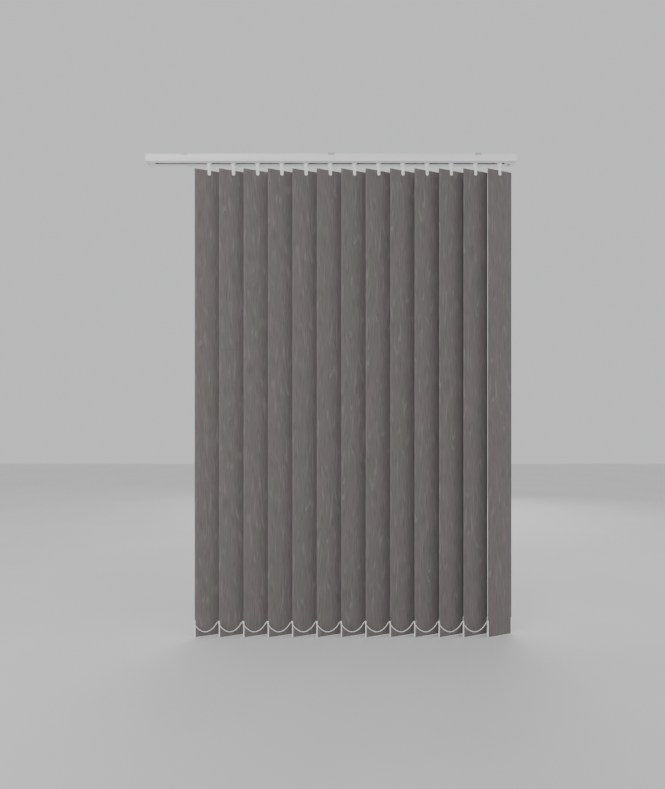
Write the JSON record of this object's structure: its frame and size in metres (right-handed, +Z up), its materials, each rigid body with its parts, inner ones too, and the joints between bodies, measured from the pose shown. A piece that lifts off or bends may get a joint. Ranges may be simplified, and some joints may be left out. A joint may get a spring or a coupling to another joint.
{
  "type": "vertical blind",
  "caption": "Drawn cloth vertical blind: slotted headrail with geared sliding carriers, hanging vanes that tilt and gather, bottom weights and linking bead chain.",
  "frame": {"origin": "the ceiling plane at the middle one of the three bracket screw holes", "axes": "+X along the rail to the control end, +Y from the room towards the window, +Z up"},
  "size_m": [1.142, 0.046, 1.4854],
  "materials": {
    "rail_coating": "white satin powder coat",
    "cap_plastic": "white moulded",
    "bracket_steel": "zinc plated",
    "rod_aluminium": "mill finish, fluted",
    "carrier_plastic": "white moulded, with steel-coloured spacer strip",
    "worm_plastic": "self-lubricating moulded",
    "fitting_plastic": "white moulded",
    "chain_plastic": "white moulded beads",
    "vane_cloth": "charcoal woven cloth with fine lengthwise streaks"
  },
  "bodies": {
    "rail": {"headrail": "rail_coating", "control_end_cap": "cap_plastic", "idler_end_cap": "cap_plastic", "top_fix_brackets": "bracket_steel", "carrier_13": "carrier_plastic"},
    "rod": {"tilt_rod": "rod_aluminium", "chain_wheel": "cap_plastic", "worm_13": "worm_plastic"},
    "runner_01": {"carrier_01": "carrier_plastic"},
    "gear_01": {"worm_01": "worm_plastic"},
    "louvre_01": {"vane_01": "vane_cloth", "vane_fittings_01": "fitting_plastic"},
    "runner_02": {"carrier_02": "carrier_plastic"},
    "gear_02": {"worm_02": "worm_plastic"},
    "louvre_02": {"vane_02": "vane_cloth", "vane_fittings_02": "fitting_plastic"},
    "runner_03": {"carrier_03": "carrier_plastic"},
    "gear_03": {"worm_03": "worm_plastic"},
    "louvre_03": {"vane_03": "vane_cloth", "vane_fittings_03": "fitting_plastic"},
    "runner_04": {"carrier_04": "carrier_plastic"},
    "gear_04": {"worm_04": "worm_plastic"},
    "louvre_04": {"vane_04": "vane_cloth", "vane_fittings_04": "fitting_plastic"},
    "runner_05": {"carrier_05": "carrier_plastic"},
    "gear_05": {"worm_05": "worm_plastic"},
    "louvre_05": {"vane_05": "vane_cloth", "vane_fittings_05": "fitting_plastic"},
    "runner_06": {"carrier_06": "carrier_plastic"},
    "gear_06": {"worm_06": "worm_plastic"},
    "louvre_06": {"vane_06": "vane_cloth", "vane_fittings_06": "fitting_plastic"},
    "runner_07": {"carrier_07": "carrier_plastic"},
    "gear_07": {"worm_07": "worm_plastic"},
    "louvre_07": {"vane_07": "vane_cloth", "vane_fittings_07": "fitting_plastic"},
    "runner_08": {"carrier_08": "carrier_plastic"},
    "gear_08": {"worm_08": "worm_plastic"},
    "louvre_08": {"vane_08": "vane_cloth", "vane_fittings_08": "fitting_plastic"},
    "runner_09": {"carrier_09": "carrier_plastic"},
    "gear_09": {"worm_09": "worm_plastic"},
    "louvre_09": {"vane_09": "vane_cloth", "vane_fittings_09": "fitting_plastic"},
    "runner_10": {"carrier_10": "carrier_plastic"},
    "gear_10": {"worm_10": "worm_plastic"},
    "louvre_10": {"vane_10": "vane_cloth", "vane_fittings_10": "fitting_plastic"},
    "runner_11": {"carrier_11": "carrier_plastic"},
    "gear_11": {"worm_11": "worm_plastic"},
    "louvre_11": {"vane_11": "vane_cloth", "vane_fittings_11": "fitting_plastic"},
    "runner_12": {"carrier_12": "carrier_plastic"},
    "gear_12": {"worm_12": "worm_plastic"},
    "louvre_12": {"vane_12": "vane_cloth", "vane_fittings_12": "fitting_plastic"},
    "louvre_13": {"vane_13": "vane_cloth", "vane_fittings_13": "fitting_plastic"},
    "front_chain_row": {"front_chain": "chain_plastic"},
    "back_chain_row": {"back_chain": "chain_plastic"}
  },
  "joints": [
    {"name": "tilt", "type": "hinge", "parent": "rail", "child": "louvre_13", "pos_m": [0.522, 0, 0], "axis": [0, 0, 1], "range_deg": [-12, 148]},
    {"name": "traverse", "type": "slide", "parent": "rail", "child": "runner_01", "axis": [1, 0, 0], "range_m": [0, 0.696], "deforming": ["front_chain", "back_chain"]},
    {"name": "rod_turn", "type": "hinge", "parent": "rail", "child": "rod", "pos_m": [0, 0.01, -0.0132], "axis": [1, 0, 0], "range_deg": [-144, 1776]},
    {"name": "turn_01", "type": "hinge", "parent": "runner_01", "child": "louvre_01", "pos_m": [-0.378, 0, 0], "axis": [0, 0, 1], "range_deg": [-12, 148]},
    {"name": "worm_slide_01", "type": "slide", "parent": "rod", "child": "gear_01", "axis": [1, 0, 0], "range_m": [0, 0.696]},
    {"name": "slide_02", "type": "slide", "parent": "rail", "child": "runner_02", "axis": [1, 0, 0], "range_m": [0, 0.638]},
    {"name": "turn_02", "type": "hinge", "parent": "runner_02", "child": "louvre_02", "pos_m": [-0.303, 0, 0], "axis": [0, 0, 1], "range_deg": [-12, 148]},
    {"name": "worm_slide_02", "type": "slide", "parent": "rod", "child": "gear_02", "axis": [1, 0, 0], "range_m": [0, 0.638]},
    {"name": "slide_03", "type": "slide", "parent": "rail", "child": "runner_03", "axis": [1, 0, 0], "range_m": [0, 0.58]},
    {"name": "turn_03", "type": "hinge", "parent": "runner_03", "child": "louvre_03", "pos_m": [-0.228, 0, 0], "axis": [0, 0, 1], "range_deg": [-12, 148]},
    {"name": "worm_slide_03", "type": "slide", "parent": "rod", "child": "gear_03", "axis": [1, 0, 0], "range_m": [0, 0.58]},
    {"name": "slide_04", "type": "slide", "parent": "rail", "child": "runner_04", "axis": [1, 0, 0], "range_m": [0, 0.522]},
    {"name": "turn_04", "type": "hinge", "parent": "runner_04", "child": "louvre_04", "pos_m": [-0.153, 0, 0], "axis": [0, 0, 1], "range_deg": [-12, 148]},
    {"name": "worm_slide_04", "type": "slide", "parent": "rod", "child": "gear_04", "axis": [1, 0, 0], "range_m": [0, 0.522]},
    {"name": "slide_05", "type": "slide", "parent": "rail", "child": "runner_05", "axis": [1, 0, 0], "range_m": [0, 0.464]},
    {"name": "turn_05", "type": "hinge", "parent": "runner_05", "child": "louvre_05", "pos_m": [-0.078, 0, 0], "axis": [0, 0, 1], "range_deg": [-12, 148]},
    {"name": "worm_slide_05", "type": "slide", "parent": "rod", "child": "gear_05", "axis": [1, 0, 0], "range_m": [0, 0.464]},
    {"name": "slide_06", "type": "slide", "parent": "rail", "child": "runner_06", "axis": [1, 0, 0], "range_m": [0, 0.406]},
    {"name": "turn_06", "type": "hinge", "parent": "runner_06", "child": "louvre_06", "pos_m": [-0.003, 0, 0], "axis": [0, 0, 1], "range_deg": [-12, 148]},
    {"name": "worm_slide_06", "type": "slide", "parent": "rod", "child": "gear_06", "axis": [1, 0, 0], "range_m": [0, 0.406]},
    {"name": "slide_07", "type": "slide", "parent": "rail", "child": "runner_07", "axis": [1, 0, 0], "range_m": [0, 0.348]},
    {"name": "turn_07", "type": "hinge", "parent": "runner_07", "child": "louvre_07", "pos_m": [0.072, 0, 0], "axis": [0, 0, 1], "range_deg": [-12, 148]},
    {"name": "worm_slide_07", "type": "slide", "parent": "rod", "child": "gear_07", "axis": [1, 0, 0], "range_m": [0, 0.348]},
    {"name": "slide_08", "type": "slide", "parent": "rail", "child": "runner_08", "axis": [1, 0, 0], "range_m": [0, 0.29]},
    {"name": "turn_08", "type": "hinge", "parent": "runner_08", "child": "louvre_08", "pos_m": [0.147, 0, 0], "axis": [0, 0, 1], "range_deg": [-12, 148]},
    {"name": "worm_slide_08", "type": "slide", "parent": "rod", "child": "gear_08", "axis": [1, 0, 0], "range_m": [0, 0.29]},
    {"name": "slide_09", "type": "slide", "parent": "rail", "child": "runner_09", "axis": [1, 0, 0], "range_m": [0, 0.232]},
    {"name": "turn_09", "type": "hinge", "parent": "runner_09", "child": "louvre_09", "pos_m": [0.222, 0, 0], "axis": [0, 0, 1], "range_deg": [-12, 148]},
    {"name": "worm_slide_09", "type": "slide", "parent": "rod", "child": "gear_09", "axis": [1, 0, 0], "range_m": [0, 0.232]},
    {"name": "slide_10", "type": "slide", "parent": "rail", "child": "runner_10", "axis": [1, 0, 0], "range_m": [0, 0.174]},
    {"name": "turn_10", "type": "hinge", "parent": "runner_10", "child": "louvre_10", "pos_m": [0.297, 0, 0], "axis": [0, 0, 1], "range_deg": [-12, 148]},
    {"name": "worm_slide_10", "type": "slide", "parent": "rod", "child": "gear_10", "axis": [1, 0, 0], "range_m": [0, 0.174]},
    {"name": "slide_11", "type": "slide", "parent": "rail", "child": "runner_11", "axis": [1, 0, 0], "range_m": [0, 0.116]},
    {"name": "turn_11", "type": "hinge", "parent": "runner_11", "child": "louvre_11", "pos_m": [0.372, 0, 0], "axis": [0, 0, 1], "range_deg": [-12, 148]},
    {"name": "worm_slide_11", "type": "slide", "parent": "rod", "child": "gear_11", "axis": [1, 0, 0], "range_m": [0, 0.116]},
    {"name": "slide_12", "type": "slide", "parent": "rail", "child": "runner_12", "axis": [1, 0, 0], "range_m": [0, 0.058]},
    {"name": "turn_12", "type": "hinge", "parent": "runner_12", "child": "louvre_12", "pos_m": [0.447, 0, 0], "axis": [0, 0, 1], "range_deg": [-12, 148]},
    {"name": "worm_slide_12", "type": "slide", "parent": "rod", "child": "gear_12", "axis": [1, 0, 0], "range_m": [0, 0.058]},
    {"name": "front_chain_swing", "type": "hinge", "parent": "louvre_13", "child": "front_chain_row", "pos_m": [0.47722, -0.01809, -1.437], "axis": [0, 0, 1], "range_deg": [-148, 12]},
    {"name": "back_chain_swing", "type": "hinge", "parent": "louvre_13", "child": "back_chain_row", "pos_m": [0.56678, 0.01809, -1.437], "axis": [0, 0, 1], "range_deg": [-148, 12]}
  ],
  "couplings": [
    {"joint": "rod_turn", "follows": "tilt", "ratio": 12},
    {"joint": "turn_01", "follows": "tilt", "ratio": 1},
    {"joint": "worm_slide_01", "follows": "traverse", "ratio": 1},
    {"joint": "slide_02", "follows": "traverse", "ratio": 0.91667},
    {"joint": "turn_02", "follows": "tilt", "ratio": 1},
    {"joint": "worm_slide_02", "follows": "traverse", "ratio": 0.91667},
    {"joint": "slide_03", "follows": "traverse", "ratio": 0.83333},
    {"joint": "turn_03", "follows": "tilt", "ratio": 1},
    {"joint": "worm_slide_03", "follows": "traverse", "ratio": 0.83333},
    {"joint": "slide_04", "follows": "traverse", "ratio": 0.75},
    {"joint": "turn_04", "follows": "tilt", "ratio": 1},
    {"joint": "worm_slide_04", "follows": "traverse", "ratio": 0.75},
    {"joint": "slide_05", "follows": "traverse", "ratio": 0.66667},
    {"joint": "turn_05", "follows": "tilt", "ratio": 1},
    {"joint": "worm_slide_05", "follows": "traverse", "ratio": 0.66667},
    {"joint": "slide_06", "follows": "traverse", "ratio": 0.58333},
    {"joint": "turn_06", "follows": "tilt", "ratio": 1},
    {"joint": "worm_slide_06", "follows": "traverse", "ratio": 0.58333},
    {"joint": "slide_07", "follows": "traverse", "ratio": 0.5},
    {"joint": "turn_07", "follows": "tilt", "ratio": 1},
    {"joint": "worm_slide_07", "follows": "traverse", "ratio": 0.5},
    {"joint": "slide_08", "follows": "traverse", "ratio": 0.41667},
    {"joint": "turn_08", "follows": "tilt", "ratio": 1},
    {"joint": "worm_slide_08", "follows": "traverse", "ratio": 0.41667},
    {"joint": "slide_09", "follows": "traverse", "ratio": 0.33333},
    {"joint": "turn_09", "follows": "tilt", "ratio": 1},
    {"joint": "worm_slide_09", "follows": "traverse", "ratio": 0.33333},
    {"joint": "slide_10", "follows": "traverse", "ratio": 0.25},
    {"joint": "turn_10", "follows": "tilt", "ratio": 1},
    {"joint": "worm_slide_10", "follows": "traverse", "ratio": 0.25},
    {"joint": "slide_11", "follows": "traverse", "ratio": 0.16667},
    {"joint": "turn_11", "follows": "tilt", "ratio": 1},
    {"joint": "worm_slide_11", "follows": "traverse", "ratio": 0.16667},
    {"joint": "slide_12", "follows": "traverse", "ratio": 0.083333},
    {"joint": "turn_12", "follows": "tilt", "ratio": 1},
    {"joint": "worm_slide_12", "follows": "traverse", "ratio": 0.083333},
    {"joint": "front_chain_swing", "follows": "tilt", "ratio": -1},
    {"joint": "back_chain_swing", "follows": "tilt", "ratio": -1}
  ]
}
